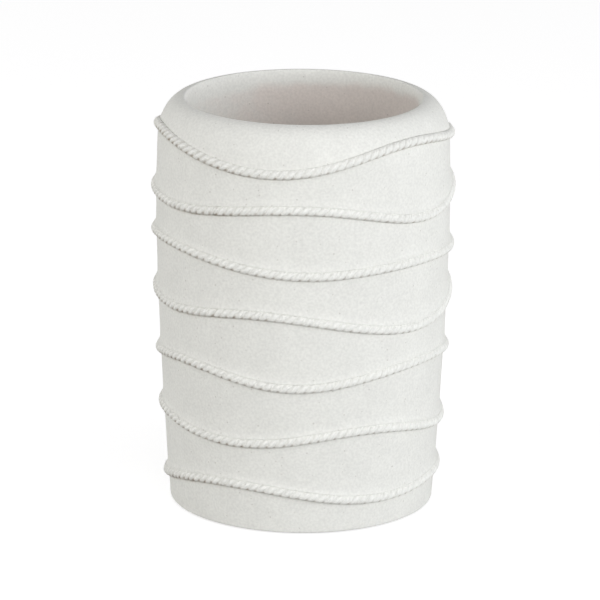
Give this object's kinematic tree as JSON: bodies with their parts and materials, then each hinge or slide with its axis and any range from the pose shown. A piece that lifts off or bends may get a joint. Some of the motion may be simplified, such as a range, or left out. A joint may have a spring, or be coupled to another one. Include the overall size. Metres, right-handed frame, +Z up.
{
  "type": "bathroom tumbler",
  "caption": "Thick round cast tumbler for a bathroom, with a barrel wall, a rounded rim and wavy twisted-rope trims round the outside.",
  "frame": {"origin": "centre of the face that the tumbler stands on, the underside of its base pad", "axes": "+Z up along the cup's axis to its mouth; -Y is the side that the picture shows"},
  "size_m": [0.0806, 0.0806, 0.1095],
  "materials": {
    "cast_stone": "matt off-white with a fine sandstone grain",
    "cast_rope": "matt off-white, twisted strands",
    "pad_foam": "soft matt foam rubber"
  },
  "bodies": {
    "root": {"cup_body": "cast_stone", "rope_1": "cast_rope", "rope_2": "cast_rope", "rope_3": "cast_rope", "rope_4": "cast_rope", "rope_5": "cast_rope", "rope_6": "cast_rope", "rope_7": "cast_rope", "base_pad": "pad_foam"}
  },
  "joints": []
}
